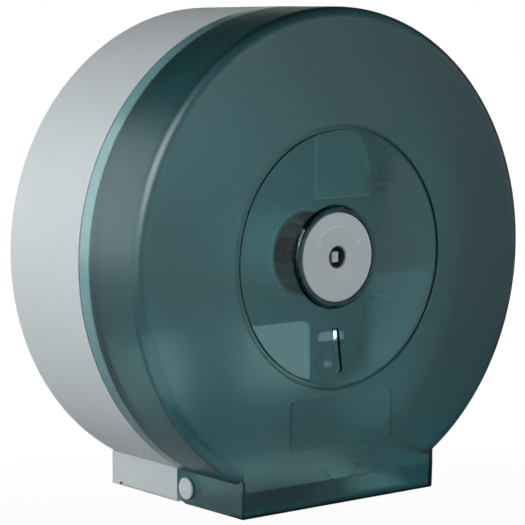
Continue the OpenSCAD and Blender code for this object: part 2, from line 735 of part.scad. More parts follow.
module latch_arm() color(steel) from_wall() translate([0, 0, latch_back]) difference() {
    intersection() {
        cylinder(r = latch_reach, h = latch_t);
        translate([-latch_reach - cut, -latch_w / 2, -cut])
            cube([2 * (latch_reach + cut), latch_w, latch_t + 2 * cut]);
    }
    translate([-core_square / 2 - core_fit, -core_square / 2 - core_fit, -cut])
        cube([core_square + 2 * core_fit, core_square + 2 * core_fit, latch_t + 2 * cut]);
}

module latch_screw() color(steel) from_wall() {
    translate([0, 0, core_end - seat_clear - latch_head_t])
        cylinder(r = latch_head_r, h = latch_head_t, $fn = 48);
    translate([0, 0, core_end - seat_clear - join])
        cylinder(r = latch_screw_r, h = latch_screw_len - 1 + join, $fn = 32);
}

rear_shell();
tear_blade_left();
tear_blade_right();
hinge_pin_left();
hinge_pin_right();
spindle_post();
spindle_screws();
thrust_washer();
roll_hub();
hub_retainer();
latch_keeper();
front_cover();
lock_plate();
lock_barrel();
lock_screws();
lock_core();
detent_washer();
core_clip();
latch_arm();
latch_screw();
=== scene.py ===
import math

import bpy
from mathutils import Matrix, Vector


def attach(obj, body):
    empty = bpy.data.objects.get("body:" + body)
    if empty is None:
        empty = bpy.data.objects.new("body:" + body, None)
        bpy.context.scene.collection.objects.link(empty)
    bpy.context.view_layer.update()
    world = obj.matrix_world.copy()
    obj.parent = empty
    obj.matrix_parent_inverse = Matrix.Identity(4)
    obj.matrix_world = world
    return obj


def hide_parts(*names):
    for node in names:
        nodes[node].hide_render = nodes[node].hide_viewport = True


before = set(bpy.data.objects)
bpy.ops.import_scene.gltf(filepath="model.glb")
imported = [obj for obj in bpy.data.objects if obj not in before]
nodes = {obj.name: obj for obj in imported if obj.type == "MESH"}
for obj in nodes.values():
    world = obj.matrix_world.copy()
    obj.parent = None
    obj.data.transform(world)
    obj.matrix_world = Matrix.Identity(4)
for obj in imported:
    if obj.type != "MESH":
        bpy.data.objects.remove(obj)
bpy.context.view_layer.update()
mm = 0.001

# Sizes in mm. A depth counts from the wall, so it is a minus y. FOOT, THROAT, PIVOT_Z, LABEL_Z, SLOT_Z,
# NECK_TOP and DRUM_LOW are heights, z, which count from the drum's axis.
DRUM_R, CASE_DEPTH, SEAM, FILLET_R = 132.5, 119.3, 66.8, 6.8
COVER_T, LAP_T, LIP_T = 2.2, 0.8, 1.4
LAP_LENGTH = 9.1
NECK_HALF, FOOT, THROAT = 66.6, -132.546, -103.6
PIVOT_Y, PIVOT_Z = -70.3, -123.746
RING_R, DISH_R, DISH_DEPTH, WINDOW_DEPTH = 68.5, 68.0, 113.3, 118.6
COLLAR_R, COLLAR_TOP, CUP_R, CUP_FLOOR, CUP_BACK, BARREL_HOLE_R = 27.7, 115.6, 24.3, 111.5, 109.3, 8.35
LABEL_W, LABEL_H, LABEL_Z = 69.4, 25.7, -87.15
SLOT_W, SLOT_H, SLOT_Z = 4.3, 24, -49.8
PLATE_R, PLATE_FACE, PLATE_T, KEYHOLE_R = 23.9, 115.9, 4.2, 5.9
MARK_H = 0.22
SCREW_CIRCLE_R = 13
LAP_END = SEAM + 9.4
NECK_TOP, DRUM_LOW = -100, -112

# Where the shell's teeth and the beaded corner panels of its back plate lie: SIDE counts from the middle,
# DEPTH from the wall and HEIGHT from the drum's axis. The panels end at PANEL_REACH from that axis.
TOOTH_SIDE, TOOTH_DEPTH, TOOTH_H = (64.4, NECK_HALF - 0.08), (7.2, 50), 1.98
PANEL_SIDE, PANEL_HEIGHT, PANEL_REACH = (71.9, 115), (19.4, 69.6), 121
PANEL_DEPTH, BEAD_DEPTH = (4.0, 5.4), (5.4, 8.4)


# ---------------------------------------------------------------- camera, light, room

def set_camera():
    data = bpy.data.cameras.new("camera")
    data.sensor_width = 36
    data.lens = 154.42
    camera = bpy.data.objects.new("camera", data)
    bpy.context.scene.collection.objects.link(camera)
    right = Vector((0.78463, -0.61996, 0.0))
    up = Vector((0.07185, 0.09093, 0.99326))
    back = Vector((-0.61578, -0.77934, 0.11589))
    turn = Matrix((right, up, back)).transposed().to_4x4()
    camera.matrix_world = Matrix.Translation((-0.76833, -1.02349, 0.13593)) @ turn
    bpy.context.scene.camera = camera


GLOSS_LEVEL, GLASS_LEVEL = 0.52, 0.28


def background(t):
    """The camera's rays, the rays that see the background (the camera's and those that gloss and glass send
    on) and how bright it is for each: white for the camera, paler for the others."""
    path = t.nodes.new("ShaderNodeLightPath")
    camera, glass = path.outputs["Is Camera Ray"], path.outputs["Is Transmission Ray"]
    seen = math_node(t, "MAXIMUM", camera, math_node(t, "MAXIMUM", glass, path.outputs["Is Glossy Ray"]))
    level = math_node(t, "ADD", math_node(t, "MULTIPLY", glass, GLASS_LEVEL - GLOSS_LEVEL), GLOSS_LEVEL)
    return camera, seen, math_node(t, "MAXIMUM", camera, level)


def world_light():
    """A studio that is bright at the horizon and dark overhead, in front of a white background."""
    world = bpy.data.worlds.new("studio")
    bpy.context.scene.world = world
    world.use_nodes = True
    t = world.node_tree
    lit = t.nodes["Background"]
    coords = t.nodes.new("ShaderNodeTexCoord")
    split = t.nodes.new("ShaderNodeSeparateXYZ")
    ramp = t.nodes.new("ShaderNodeValToRGB")
    ramp.color_ramp.elements[0].position = 0.05
    ramp.color_ramp.elements[0].color = (0.48, 0.49, 0.50, 1)
    ramp.color_ramp.elements[1].position = 0.55
    ramp.color_ramp.elements[1].color = (0.06, 0.062, 0.065, 1)
    t.links.new(coords.outputs["Generated"], split.inputs[0])
    t.links.new(split.outputs["Z"], ramp.inputs[0])
    t.links.new(ramp.outputs[0], lit.inputs["Color"])
    white = t.nodes.new("ShaderNodeBackground")
    white.inputs["Color"].default_value = (1, 1, 1, 1)
    _, seen, level = background(t)
    t.links.new(level, white.inputs["Strength"])
    mix = t.nodes.new("ShaderNodeMixShader")
    t.links.new(seen, mix.inputs[0])
    t.links.new(lit.outputs[0], mix.inputs[1])
    t.links.new(white.outputs[0], mix.inputs[2])
    t.links.new(mix.outputs[0], t.nodes["World Output"].inputs[0])


def soft_light(name, place, target, size, brightness, use=""):
    """A rectangular soft box of an even brightness, where 1 is white. GLOSS only shows as a reflection,
    FILL never does."""
    data = bpy.data.lights.new(name, "AREA")
    data.shape = "RECTANGLE"
    data.size, data.size_y = size
    data.energy = brightness * math.pi * size[0] * size[1]
    lamp = bpy.data.objects.new(name, data)
    lamp.location = place
    lamp.rotation_euler = (Vector(target) - Vector(place)).to_track_quat("-Z", "Y").to_euler()
    lamp.visible_camera = False
    lamp.visible_glossy = use != "FILL"
    lamp.visible_diffuse = lamp.visible_transmission = use != "GLOSS"
    bpy.context.scene.collection.objects.link(lamp)


def dark_card(name, place, target, size, shade, shadow=True):
    """A dark card that keeps light and reflections off one side. The camera looks through it."""
    bpy.ops.mesh.primitive_plane_add(size=1)
    card = bpy.context.object
    card.name = name
    card.scale = (*size, 1)
    card.rotation_euler = (Vector(target) - Vector(place)).to_track_quat("Z", "Y").to_euler()
    card.location = place
    card.visible_camera = False
    card.visible_shadow = shadow
    mat = bpy.data.materials.new(name)
    mat.use_nodes = True
    body = mat.node_tree.nodes["Principled BSDF"]
    body.inputs["Base Color"].default_value = (shade, shade, shade, 1)
    body.inputs["Roughness"].default_value = 1.0
    body.inputs["Specular IOR Level"].default_value = 0.0
    card.data.materials.append(mat)


def white_floor():
    bpy.ops.mesh.primitive_plane_add(size=12, location=(0, 0, FOOT * mm - 0.12))
    floor = bpy.context.object
    floor.name = "floor"
    mat = bpy.data.materials.new("floor_white")
    mat.use_nodes = True
    t = mat.node_tree
    body = t.nodes["Principled BSDF"]
    body.inputs["Base Color"].default_value = (0.70, 0.71, 0.71, 1)
    body.inputs["Roughness"].default_value = 0.9
    coords = t.nodes.new("ShaderNodeTexCoord")
    far = t.nodes.new("ShaderNodeVectorMath")
    far.operation = "LENGTH"
    t.links.new(coords.outputs["Object"], far.inputs[0])
    camera, seen, level = background(t)
    glow = t.nodes.new("ShaderNodeEmission")
    t.links.new(math_node(t, "MULTIPLY", level, 1.08), glow.inputs["Strength"])
    share = t.nodes.new("ShaderNodeMapRange")
    for key, value in (("From Min", 0.25), ("From Max", 1.2), ("To Max", 0.97)):
        share.inputs[key].default_value = value
    t.links.new(far.outputs["Value"], share.inputs["Value"])
    t.links.new(math_node(t, "MULTIPLY", camera, 0.84), share.inputs["To Min"])
    mix = t.nodes.new("ShaderNodeMixShader")
    t.links.new(both(t, seen, share.outputs[0]), mix.inputs[0])
    t.links.new(body.outputs[0], mix.inputs[1])
    t.links.new(glow.outputs[0], mix.inputs[2])
    t.links.new(mix.outputs[0], t.nodes["Material Output"].inputs[0])
    floor.data.materials.append(mat)


def room():
    set_camera()
    world_light()
    middle = (0, -0.06, 0)
    foot = FOOT * mm
    soft_light("key_left", (-1.5, -0.25, 0.5), middle, (1.5, 1.3), 2.2)
    soft_light("panel_back_left", (-1.45, 1.7, 0.62), (0, -0.06, 0.3), (2.3, 1.6), 1.5)
    soft_light("edge_left", (-1.17, -0.6, 0.86), middle, (1.1, 0.85), 8.8, "GLOSS")
    for size in ((0.06, 0.11), (0.042, 0.1)):
        soft_light("window_strip", (0.26, -0.54, -0.05), (0.05, -0.117, 0), size, 0.3, "GLOSS")
    soft_light("fill_above", (1.08, -1.19, 1.0), middle, (1.3, 0.8), 1.2, "FILL")
    soft_light("fill_front", (0.2, -2.2, 0.5), middle, (2.4, 1.4), 1.96, "FILL")
    soft_light("fill_right", (1.7, 0.5, 0.7), middle, (1.2, 1.2), 0.9, "FILL")
    dark_card("card_above", (0, 0, 1.5), (0, 0, 0), (6.8, 6.8), 0.05)
    dark_card("card_right_behind", (0.62, 0.12, 0.1), (0, -0.3, 0.1), (0.5, 0.8), 0.06)
    dark_card("card_front_high", (-0.36, -1.4, 0.8), middle, (1.7, 1.5), 0.06, False)
    dark_card("card_low_front", (0.1, -0.43, foot - 0.11), (0.1, -0.43, 1), (1.6, 0.56), 0.06, False)
    dark_card("card_low_left", (-0.25, -0.06, foot + 0.025), (0, -0.06, foot + 0.025), (0.2, 0.045), 0.3)
    dark_card("card_below", (0, -0.062, foot - 0.012), (0, -0.062, 1), (0.12, 0.1), 0.2, False)
    white_floor()
    bpy.context.scene.view_settings.view_transform = "Standard"


# ---------------------------------------------------------------- finishes

def new_finish(name, color, roughness, **sockets):
    mat = bpy.data.materials.new(name)
    mat.use_nodes = True
    body = mat.node_tree.nodes["Principled BSDF"]
    body.inputs["Base Color"].default_value = (*color, 1)
    body.inputs["Roughness"].default_value = roughness
    for key, value in sockets.items():
        body.inputs[key.replace("_", " ")].default_value = value
    return mat, mat.node_tree, body


def noise(t, scale, detail=2.0, stretch=(1, 1, 1)):
    coords = t.nodes.new("ShaderNodeTexCoord")
    place = t.nodes.new("ShaderNodeMapping")
    place.inputs["Scale"].default_value = stretch
    tex = t.nodes.new("ShaderNodeTexNoise")
    tex.inputs["Scale"].default_value = scale
    tex.inputs["Detail"].default_value = detail
    t.links.new(coords.outputs["Object"], place.inputs[0])
    t.links.new(place.outputs[0], tex.inputs["Vector"])
    return tex.outputs["Fac"]


def spread(t, value, low, high):
    """Maps a noise value round one half to a range."""
    span = t.nodes.new("ShaderNodeMapRange")
    span.inputs["From Min"].default_value = 0.3
    span.inputs["From Max"].default_value = 0.7
    span.inputs["To Min"].default_value = low
    span.inputs["To Max"].default_value = high
    t.links.new(value, span.inputs["Value"])
    return span.outputs[0]


def bump(t, body, height):
    """A grain that stands a hundredth of a millimetre high."""
    node = t.nodes.new("ShaderNodeBump")
    node.inputs["Distance"].default_value = 0.01 * mm
    node.inputs["Strength"].default_value = 1.0
    t.links.new(height, node.inputs["Height"])
    t.links.new(node.outputs[0], body.inputs["Normal"])


def tone(t, body, color, value, depth):
    """Base colour that drifts a little lighter and darker with a value."""
    mix = t.nodes.new("ShaderNodeMix")
    mix.data_type = "RGBA"
    mix.inputs["A"].default_value = (*[c * (1 - depth) for c in color], 1)
    mix.inputs["B"].default_value = (*[min(1, c * (1 + depth)) for c in color], 1)
    t.links.new(spread(t, value, 0, 1), mix.inputs["Factor"])
    t.links.new(mix.outputs["Result"], body.inputs["Base Color"])


def moulded(name, color, roughness):
    """Moulded plastic with a fine spark-eroded grain."""
    mat, t, body = new_finish(name, color, roughness)
    tone(t, body, color, noise(t, 22), 0.02)
    drift = spread(t, noise(t, 60), roughness - 0.04, roughness + 0.05)
    t.links.new(drift, body.inputs["Roughness"])
    bump(t, body, noise(t, 2600, 3))
    return mat


def metal(name, color, roughness, stretch=(1, 1, 1)):
    """Bare metal with a fine drift in tone and roughness, drawn out where it is stretched."""
    mat, t, body = new_finish(name, color, roughness, Metallic=1.0)
    tone(t, body, color, noise(t, 180, 4, stretch), 0.08)
    drift = spread(t, noise(t, 700, 3, stretch), roughness - 0.08, roughness + 0.1)
    t.links.new(drift, body.inputs["Roughness"])
    return mat


def math_node(t, kind, a, b=None):
    node = t.nodes.new("ShaderNodeMath")
    node.operation = kind
    for socket, value in zip(node.inputs, (a, b)):
        if value is None:
            continue
        if isinstance(value, (int, float)):
            socket.default_value = value
        else:
            t.links.new(value, socket)
    return node.outputs[0]


def both(t, first, *others):
    """A mask that is 1 where all the masks are."""
    for mask in others:
        first = math_node(t, "MULTIPLY", first, mask)
    return first


def strongest(t, first, *others):
    """The strongest of several masks."""
    for mask in others:
        first = math_node(t, "MAXIMUM", first, mask)
    return first


def more(t, value, size):
    """A mask that is 1 where a length is more than a size in mm."""
    return math_node(t, "GREATER_THAN", value, size * mm)


def less(t, value, size):
    """A mask that is 1 where a length is less than a size in mm."""
    return math_node(t, "LESS_THAN", value, size * mm)


def between(t, value, low, high):
    """A mask that is 1 where a length lies between two sizes in mm."""
    return both(t, more(t, value, low), less(t, value, high))


def painted(t, color, mask, over):
    """A colour laid over another one by a mask."""
    mix = t.nodes.new("ShaderNodeMix")
    mix.data_type = "RGBA"
    t.links.new(mask, mix.inputs["Factor"])
    t.links.new(over, mix.inputs["A"])
    mix.inputs["B"].default_value = (*color, 1)
    return mix.outputs["Result"]


def squares(t, a, b):
    """The sum of two squares."""
    return math_node(t, "ADD", math_node(t, "MULTIPLY", a, a), math_node(t, "MULTIPLY", b, b))


def whereabouts(t):
    """Where a point is: how far from the middle to the side, its depth from the wall, its height and its
    distance from the drum's axis."""
    coords = t.nodes.new("ShaderNodeTexCoord")
    split = t.nodes.new("ShaderNodeSeparateXYZ")
    t.links.new(coords.outputs["Object"], split.inputs[0])
    x, y, z = split.outputs
    return (math_node(t, "ABSOLUTE", x), math_node(t, "MULTIPLY", y, -1.0), z,
            math_node(t, "SQRT", squares(t, x, z)))


def shell_painted_shade_and_light(mat, gap_painted_shade, panel_painted_light, bead_painted_highlight):
    """Paints shade into the shell's narrow gaps, which are at the seam, before the cover and between the
    teeth, and paints light on the beaded corner panels of the back plate: the panels paler, their beads
    nearly white as a painted highlight."""
    t = mat.node_tree
    color = t.nodes["Principled BSDF"].inputs["Base Color"]
    side, depth, height, r = whereabouts(t)
    rim = between(t, r, DRUM_R - 5.5, DRUM_R + 0.5)
    seam = both(t, rim, between(t, depth, SEAM - 0.28, SEAM + 0.2))
    lip_end = both(t, rim, between(t, depth, SEAM + 9.0, SEAM + 20))
    teeth = both(t, between(t, side, *TOOTH_SIDE), between(t, height, FOOT + 0.03, FOOT + TOOTH_H),
                 between(t, depth, *TOOTH_DEPTH))
    corner = both(t, between(t, side, *PANEL_SIDE), between(t, height, *PANEL_HEIGHT),
                  between(t, r, 0, PANEL_REACH))
    paint = color.links[0].from_socket
    # Painted light on the panels, a painted highlight on the beads and painted shade in the gaps.
    for shade, mask in ((panel_painted_light, both(t, corner, between(t, depth, *PANEL_DEPTH))),
                        (bead_painted_highlight, both(t, corner, between(t, depth, *BEAD_DEPTH))),
                        (gap_painted_shade, strongest(t, seam, lip_end, teeth))):
        paint = painted(t, shade, mask, paint)
    t.links.new(paint, color)
    return mat


def smoked(name, color, thin_color, satin, polish, clear, tint, density):
    """Smoke-tinted translucent plastic: satin outside, smoother inside and at the label field, polished in
    the window, and paler in the thin lap behind the seam."""
    mat, t, body = new_finish(name, color, satin, IOR=1.49)
    body.inputs["Transmission Weight"].default_value = clear
    side, depth, height, r = whereabouts(t)
    margin, under_skin = 0.3, 1.2
    window = both(t, less(t, r, DISH_R + margin), more(t, depth, 100))
    from_label = math_node(t, "ABSOLUTE", math_node(t, "ADD", height, -LABEL_Z * mm))
    label = both(t, less(t, side, LABEL_W / 2 + margin), less(t, from_label, LABEL_H / 2 + margin),
                 more(t, depth, CASE_DEPTH - 1.1))
    lap = both(t, less(t, depth, LAP_END + 0.2), more(t, height, DRUM_LOW - 1))
    past_side = math_node(t, "MAXIMUM", math_node(t, "SUBTRACT", r, (DRUM_R - FILLET_R) * mm), 0.0)
    past_front = math_node(t, "MAXIMUM", math_node(t, "SUBTRACT", depth, (CASE_DEPTH - FILLET_R) * mm), 0.0)
    skin = ((FILLET_R - margin) * mm) ** 2
    within_skin = math_node(t, "LESS_THAN", squares(t, past_side, past_front), skin)
    drum_inside = both(t, within_skin, more(t, height, DRUM_LOW))
    neck_inside = both(t, less(t, side, NECK_HALF - under_skin), less(t, depth, CASE_DEPTH - under_skin),
                       between(t, height, FOOT + under_skin, NECK_TOP))
    inside_face = math_node(t, "MULTIPLY", strongest(t, drum_inside, neck_inside), 0.45)
    shine = strongest(t, window, math_node(t, "MULTIPLY", label, 0.3), math_node(t, "MULTIPLY", lap, 0.45),
                      inside_face)
    rough = t.nodes.new("ShaderNodeMix")
    t.links.new(shine, rough.inputs["Factor"])
    t.links.new(spread(t, noise(t, 40), satin * 0.9, satin * 1.1), rough.inputs["A"])
    rough.inputs["B"].default_value = polish
    t.links.new(rough.outputs["Result"], body.inputs["Roughness"])
    thick = t.nodes.new("ShaderNodeRGB")
    thick.outputs[0].default_value = (*color, 1)
    t.links.new(painted(t, thin_color, lap, thick.outputs[0]), body.inputs["Base Color"])
    bump(t, body, math_node(t, "MULTIPLY", noise(t, 2200, 3), math_node(t, "SUBTRACT", 1.0, shine)))
    inside = t.nodes.new("ShaderNodeVolumeAbsorption")
    inside.inputs["Color"].default_value = (*tint, 1)
    inside.inputs["Density"].default_value = density
    t.links.new(inside.outputs[0], t.nodes["Material Output"].inputs["Volume"])
    return mat


# The shell with painted shade in its gaps, painted light on its corner panels and a painted highlight on
# their beads.
shell_plastic = shell_painted_shade_and_light(moulded("shell_plastic", (0.60, 0.65, 0.66), 0.5), gap_painted_shade=(0.1, 0.115, 0.12),
                             panel_painted_light=(0.78, 0.78, 0.76), bead_painted_highlight=(0.95, 0.96, 0.95))
# Painted light: the lip under the lap is painted paler than the shell to stand for the light that reaches it.
lip_painted_light = moulded("lip_painted_light", (0.68, 0.74, 0.75), 0.5)
plate_plastic = moulded("plate_plastic", (0.53, 0.61, 0.64), 0.42)
mark_plastic = moulded("mark_plastic", (0.66, 0.71, 0.72), 0.4)
hub_plastic = moulded("hub_plastic", (0.82, 0.85, 0.85), 0.4)
black_plastic = moulded("black_plastic", (0.035, 0.04, 0.042), 0.42)
keeper_plastic = moulded("keeper_plastic", (0.5, 0.55, 0.56), 0.42)
smoke_plastic = smoked("smoke_plastic", (0.90, 0.98, 0.99), thin_color=(0.97, 1.0, 1.0), satin=0.33,
                       polish=0.035, clear=1.0, tint=(0.23, 0.68, 0.715), density=630)
zinc = metal("zinc", (0.62, 0.63, 0.65), 0.35)
spring_steel = metal("spring_steel", (0.5, 0.5, 0.51), 0.3)
blade_steel = metal("blade_steel", (0.56, 0.57, 0.58), 0.28, (1, 12, 1))


def finish_nodes():
    """Gives each plain node its finish, also those that a piece of this script stands for."""
    for mat, names in ((shell_plastic, ("rear_shell", "hinge_pin_left", "hinge_pin_right", "lock_core")),
                       (plate_plastic, ("lock_plate",)),
                       (hub_plastic, ("roll_hub", "spindle_post")),
                       (keeper_plastic, ("latch_keeper",)),
                       (black_plastic, ("lock_barrel", "thrust_washer")),
                       (smoke_plastic, ("front_cover",)),
                       (zinc, ("spindle_screws", "lock_screws", "latch_arm", "latch_screw")),
                       (spring_steel, ("hub_retainer", "core_clip", "detent_washer")),
                       (blade_steel, ("tear_blade_left", "tear_blade_right"))):
        for name in names:
            nodes[name].material_slots[0].material = mat


# ---------------------------------------------------------------- making pieces

def deselect():
    for o in list(bpy.context.selected_objects):
        o.select_set(False)


def use(piece):
    deselect()
    piece.select_set(True)
    bpy.context.view_layer.objects.active = piece


def edit(piece):
    """Opens a piece for editing, with all of it selected."""
    use(piece)
    bpy.ops.object.mode_set(mode="EDIT")
    bpy.ops.mesh.select_all(action="SELECT")


def done(piece):
    bpy.ops.object.mode_set(mode="OBJECT")
    return piece


def settle(piece, name):
    """Names a piece and puts its object at the origin, with its place in its mesh."""
    piece.name = piece.data.name = name
    use(piece)
    bpy.ops.object.transform_apply(location=True, rotation=True, scale=True)
    return piece


def outline(name, points):
    """A closed outline, drawn by pulling one point from corner to corner. Points are in mm."""
    deselect()
    points = [Vector(p) * mm for p in points]
    bpy.ops.mesh.primitive_plane_add(size=mm, location=points[0])
    piece = bpy.context.object
    edit(piece)
    bpy.ops.mesh.merge(type="CENTER")
    for a, b in zip(points, points[1:]):
        bpy.ops.mesh.extrude_region_move(TRANSFORM_OT_translate={"value": b - a})
    bpy.ops.mesh.select_all(action="SELECT")
    bpy.ops.mesh.edge_face_add()
    done(piece)
    return settle(piece, name)


def clean(piece, near=0.002):
    """Merges the corners that lie closer than a length in mm and turns all faces outwards."""
    edit(piece)
    bpy.ops.mesh.remove_doubles(threshold=near * mm)
    bpy.ops.mesh.normals_make_consistent(inside=False)
    return done(piece)


def spun(name, points, steps, center, axis):
    """Spins a closed outline a full turn round an axis. The points and the center are in mm."""
    piece = outline(name, points)
    edit(piece)
    bpy.ops.mesh.delete(type="ONLY_FACE")
    bpy.ops.mesh.select_all(action="SELECT")
    bpy.ops.mesh.spin(steps=steps, angle=2 * math.pi, center=Vector(center) * mm, axis=axis)
    done(piece)
    return clean(piece, 0.01)


def turned(name, profile, steps):
    """A round piece, from its (radius, depth) profile and the drum's axis."""
    return spun(name, [(r, -d, 0) for r, d in profile], steps, (0, 0, 0), (0, 1, 0))


def slab(name, points, depth):
    """An outline pulled out into a slab along a vector in mm."""
    piece = outline(name, points)
    edit(piece)
    bpy.ops.mesh.extrude_region_move(TRANSFORM_OT_translate={"value": Vector(depth) * mm})
    done(piece)
    return clean(piece, 0.01)


def block(name, corner, far_corner):
    """A box between two opposite corners."""
    deselect()
    ends = list(zip(corner, far_corner))
    low, high = Vector([min(e) for e in ends]) * mm, Vector([max(e) for e in ends]) * mm
    bpy.ops.mesh.primitive_cube_add(size=1, location=(low + high) / 2, scale=high - low)
    return settle(bpy.context.object, name)


def rod(name, r, start, end, sides=48):
    """A round bar from one point to another."""
    deselect()
    start, end = Vector(start) * mm, Vector(end) * mm
    bpy.ops.mesh.primitive_cylinder_add(vertices=sides, radius=r * mm, depth=(end - start).length,
                                        location=(start + end) / 2,
                                        rotation=(end - start).to_track_quat("Z", "Y").to_euler())
    return settle(bpy.context.object, name)


def combined(piece, operation, tools):
    """Joins or cuts a piece with tools, which are used up."""
    for tool in tools:
        use(piece)
        bpy.ops.object.modifier_add(type="BOOLEAN")
        mod = piece.modifiers[-1]
        mod.operation, mod.object, mod.solver = operation, tool, "EXACT"
        bpy.ops.object.modifier_apply(modifier=mod.name)
        bpy.data.objects.remove(tool)
    return piece


def joined(piece, *tools):
    return combined(piece, "UNION", tools)


def cut(piece, *tools):
    return combined(piece, "DIFFERENCE", tools)


def round_edges(piece, radius, picks, steps=3):
    """Rounds the edges whose two ends both pass the test, which is given points in mm."""
    edit(piece)
    bpy.ops.mesh.select_all(action="DESELECT")
    bpy.ops.mesh.select_mode(type="EDGE")
    done(piece)
    verts = piece.data.vertices
    for e in piece.data.edges:
        a, b = (verts[i].co / mm for i in e.vertices)
        e.select = bool(picks(a, b))
    bpy.ops.object.mode_set(mode="EDIT")
    bpy.ops.mesh.bevel(offset=radius * mm, segments=steps, profile=0.5)
    bpy.ops.mesh.select_mode(type="VERT")
    return done(piece)


def dressed(piece, name, mat, second=None, beyond=0.0):
    """Cleans, coats, smooths and names a piece. The faces past a depth take the second finish."""
    clean(piece)
    piece.data.materials.clear()
    piece.data.materials.append(mat)
    if second:
        piece.data.materials.append(second)
        for face in piece.data.polygons:
            face.material_index = int(face.center.y < -beyond * mm)
    use(piece)
    bpy.ops.object.shade_smooth_by_angle(angle=math.radians(30))
    piece.name = piece.data.name = name
    return piece


def instead(piece, node, body):
    """The piece stands for a plain node, which it hides, and moves with a body."""
    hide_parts(node)
    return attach(piece, body)


def bend(cx, cy, r, start, end, steps):
    """Points along an arc, from one angle to another."""
    angles = [math.radians(start + (end - start) * i / steps) for i in range(steps + 1)]
    return [(cx + r * math.cos(a), cy + r * math.sin(a)) for a in angles]


def lock_screw_holes(piece, r, start, end):
    """Bores the three screw holes of the lock, between two depths."""
    for k in range(3):
        a = math.radians(90 + 120 * k)
        x, z = SCREW_CIRCLE_R * math.cos(a), SCREW_CIRCLE_R * math.sin(a)
        cut(piece, rod("screw_hole", r, (x, -start, z), (x, -end, z), 24))


# ---------------------------------------------------------------- lock plate and hinge pins

def raised(name, points):
    """A flat mark that stands a little proud of the lock plate."""
    root = 0.3
    return slab(name, [(x, root - PLATE_FACE, z) for x, z in points], (0, -root - MARK_H, 0))


def padlock(name, x, z, swing):
    """A small plain padlock: body and shackle, the shackle swung aside when the lock is open."""
    left, right, low, high = x - 1.25, x + 1.25, z - 1.6, z + 0.25
    body = raised(name, [(left, low), (right, low), (right, high), (left, high)])
    round_hole = bend(x, z - 0.65, 0.42, 0, 360, 14)[:-1]
    hole = slab("hole", [(px, -PLATE_FACE - 2, pz) for px, pz in round_hole], (0, 2.5, 0))
    mid, outer, inner = x + swing, 0.9, 0.45
    shackle = raised("shackle", [(mid + outer, z), *bend(mid, z + 0.75, outer, 0, 180, 10), (mid - outer, z),
                                 (mid - inner, z), *bend(mid, z + 0.75, inner, 180, 0, 8), (mid + inner, z)])
    return joined(cut(body, hole), shackle)


def lock_plate():
    """Round plate with a chamfered keyhole, a raised turning arc and an open and a closed padlock."""
    back = PLATE_FACE - PLATE_T
    profile = [(KEYHOLE_R, back), (PLATE_R - 0.3, back), (PLATE_R, back + 0.3)]
    profile += bend(PLATE_R - 0.8, PLATE_FACE - 0.8, 0.8, 0, 90, 8)
    profile += [(KEYHOLE_R + 1.0, PLATE_FACE), (KEYHOLE_R + 0.55, PLATE_FACE - 0.12),
                (KEYHOLE_R + 0.12, PLATE_FACE - 0.5), (KEYHOLE_R, PLATE_FACE - 0.9)]
    plate = turned("lock_plate_skin", profile, 120)
    lock_screw_holes(plate, 1.4, back - 1, PLATE_FACE - 1.2)
    arc_start, arc_end = 44, 132
    arc = bend(0, 0, 16.95, arc_start, arc_end, 44) + bend(0, 0, 16.3, arc_end, arc_start, 44)
    joined(plate, raised("arc", arc))
    for a, way in ((arc_end, 1), (arc_start, -1)):
        tip, base = math.radians(a + 5.5 * way), math.radians(a - 1.2 * way)
        joined(plate, raised("head", [(r * math.cos(at), r * math.sin(at))
                                      for r, at in ((16.6, tip), (17.9, base), (15.3, base))]))
    joined(plate, padlock("closed", -13.1, 7.7, 0.0), padlock("open", 13.9, 7.7, 1.1))
    dressed(plate, "lock_face", plate_plastic, mark_plastic, PLATE_FACE + 0.03)
    return instead(plate, "lock_plate", "cover")


def lock_barrel():
    """Black barrel with its flange and the thin sleeve that lines the keyhole."""
    bore, bore_end, tube, tube_back, tube_front = 6.1, 110.4, 8.05, 84.3, 111.3
    flange, flange_back, flange_front, corner = 17.0, 106.7, 109.1, 0.3
    lining_in, lining_out, lining_front, soft = 5.2, 5.75, 114.9, 0.15
    profile = [(bore, tube_back), (tube - corner, tube_back), (tube, tube_back + corner), (tube, flange_back),
               (flange - corner, flange_back), (flange, flange_back + corner),
               (flange, flange_front - corner), (flange - corner, flange_front), (tube, flange_front),
               (tube, tube_front), (lining_out, tube_front), (lining_out, lining_front - soft),
               (lining_out - soft, lining_front), (lining_in + soft, lining_front),
               (lining_in, lining_front - soft), (lining_in, bore_end + 0.4), (bore, bore_end)]
    barrel = turned("barrel", profile, 72)
    lock_screw_holes(barrel, 1.5, 106, 110)
    dressed(barrel, "lock_sleeve", black_plastic)
    return instead(barrel, "lock_barrel", "cover")


def lock_core():
    """Turning core: grey key head with broken edges on a black body, clip groove, square tail."""
    body_r, back, shoulder, head_front = 6.0, 66.2, 109.1, 113.5
    groove_r, groove_back, groove_front = 5.2, 81.6, 82.9
    profile = [(0.0, back), (body_r - 0.3, back), (body_r, back + 0.3), (body_r, groove_back),
               (groove_r, groove_back + 0.1), (groove_r, groove_front - 0.1), (body_r, groove_front),
               (body_r, shoulder - 0.4), (body_r - 0.4, shoulder), (0.0, shoulder)]
    core = turned("core", profile, 72)
    tail, head_x, head_z = 2.5, 2.3, 2.9
    joined(core, block("tail", (-tail, -67, -tail), (tail, -62.9, tail)))
    cut(core, rod("thread", 1.55, (0, -71.9, 0), (0, -61, 0), 24))
    head = block("head", (-head_x, -head_front, -head_z), (head_x, -108, head_z))
    round_edges(head, 0.45, lambda a, b: max(a.y, b.y) < -head_front + 0.5 or abs(a.y - b.y) > 1)
    joined(core, head)
    dressed(core, "key_core", black_plastic, plate_plastic, shoulder + 0.05)
    return instead(core, "lock_core", "lock")


